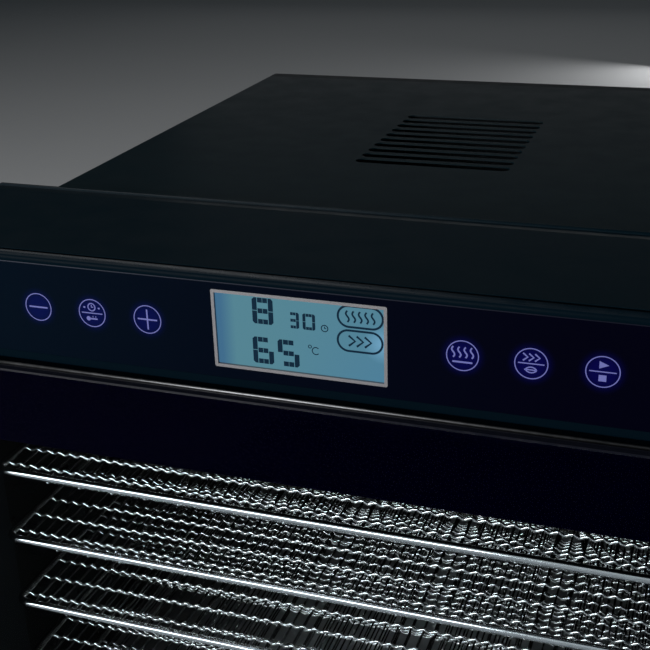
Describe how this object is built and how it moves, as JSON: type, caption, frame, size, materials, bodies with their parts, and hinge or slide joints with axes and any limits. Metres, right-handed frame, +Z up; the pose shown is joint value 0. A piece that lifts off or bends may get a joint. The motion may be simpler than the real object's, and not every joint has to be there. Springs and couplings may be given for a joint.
{
  "type": "food dehydrator",
  "caption": "Box food dehydrator with a glass door, sliding wire mesh trays, rear fan and ring heater, touch panel and lit display.",
  "frame": {"origin": "bottom centre of the whole box, on the surface that the feet stand on", "axes": "+Z up, -Y towards the door, +X to the right seen from the door"},
  "size_m": [0.456, 0.547, 0.371],
  "materials": {
    "frame": "fine satin grain",
    "panel_glass": "polished",
    "trim": "satin silver",
    "display": "backlit glass",
    "board": "lacquered",
    "sheet_black": "fine powder coat",
    "cover": "fine grain",
    "rubber": "matte",
    "liner": "black vitreous enamel",
    "stainless": "brushed",
    "tray_wire": "electropolished",
    "zinc": "zinc plated",
    "spring_steel": "ground",
    "ribbon": "satin",
    "element": "heat-tinted",
    "ceramic": "ceramic",
    "motor": "laminated",
    "blade": "pressed",
    "door_glass": "tempered, black border",
    "stile": "fine satin grain",
    "handle": "brushed"
  },
  "bodies": {
    "housing": {"front_frame": "frame", "front_bezel": "frame", "control_glass": "panel_glass", "display_trim": "trim", "display_module": "display", "control_board": "board", "touch_springs": "spring_steel", "board_screws": "zinc", "ribbon_cable": "ribbon", "power_board": "board", "cabinet_shell": "sheet_black", "base_pan": "zinc", "feet": "rubber", "rear_cover": "cover", "rear_screws": "zinc", "cord_gland": "rubber", "chamber_roof": "liner", "chamber_floor": "liner", "side_panel_left": "liner", "side_panel_right": "liner", "floor_crossbars": "zinc", "exhaust_duct": "liner", "fan_guard": "liner", "rear_bulkhead": "zinc", "heater_coil": "element", "heater_clips": "zinc", "thermal_cutout": "ceramic", "temperature_probe": "stainless", "fan_motor": "motor", "motor_brackets": "zinc", "motor_posts": "zinc", "door_gasket": "rubber", "catch_magnets": "zinc", "hinge_brackets": "zinc", "hinge_pins": "spring_steel", "hinge_screws": "zinc"},
    "door": {"door_glass": "door_glass", "hinge_stile": "stile", "handle_stile": "stile", "strike_plates": "spring_steel", "door_handle": "handle", "handle_screws": "zinc"},
    "fan": {"fan_shaft": "spring_steel", "motor_rotor": "spring_steel", "fan_blade": "blade", "blade_nut": "zinc"},
    "drip_pan": {"drip_tray": "stainless"},
    "tray_1_body": {"tray_1": "tray_wire"},
    "tray_2_body": {"tray_2": "tray_wire"},
    "tray_3_body": {"tray_3": "tray_wire"},
    "tray_4_body": {"tray_4": "tray_wire"},
    "tray_5_body": {"tray_5": "tray_wire"}
  },
  "joints": [
    {"name": "door_swing", "type": "hinge", "parent": "housing", "child": "door", "pos_m": [-0.22, -0.2335, 0.1624], "axis": [0, 0, 1], "range_deg": [-170, 0]},
    {"name": "tray_1_slide", "type": "slide", "parent": "housing", "child": "tray_1_body", "axis": [0, -1, 0], "range_m": [0, 0.155]},
    {"name": "tray_2_slide", "type": "slide", "parent": "housing", "child": "tray_2_body", "axis": [0, -1, 0], "range_m": [0, 0.155]},
    {"name": "tray_3_slide", "type": "slide", "parent": "housing", "child": "tray_3_body", "axis": [0, -1, 0], "range_m": [0, 0.155]},
    {"name": "tray_4_slide", "type": "slide", "parent": "housing", "child": "tray_4_body", "axis": [0, -1, 0], "range_m": [0, 0.155]},
    {"name": "tray_5_slide", "type": "slide", "parent": "housing", "child": "tray_5_body", "axis": [0, -1, 0], "range_m": [0, 0.155]},
    {"name": "drip_tray_slide", "type": "slide", "parent": "housing", "child": "drip_pan", "axis": [0, -1, 0], "range_m": [0, 0.155]},
    {"name": "fan_spin", "type": "hinge", "parent": "housing", "child": "fan", "pos_m": [0, 0.205, 0.165], "axis": [0, 1, 0], "continuous": true}
  ],
  "couplings": [
    {"joint": "tray_1_slide", "follows": "door_swing", "m_per_rad": -0.05224},
    {"joint": "tray_2_slide", "follows": "door_swing", "m_per_rad": -0.05224},
    {"joint": "tray_3_slide", "follows": "door_swing", "m_per_rad": -0.05224},
    {"joint": "tray_4_slide", "follows": "door_swing", "m_per_rad": -0.05224},
    {"joint": "tray_5_slide", "follows": "door_swing", "m_per_rad": -0.05224},
    {"joint": "drip_tray_slide", "follows": "door_swing", "m_per_rad": -0.05224}
  ]
}
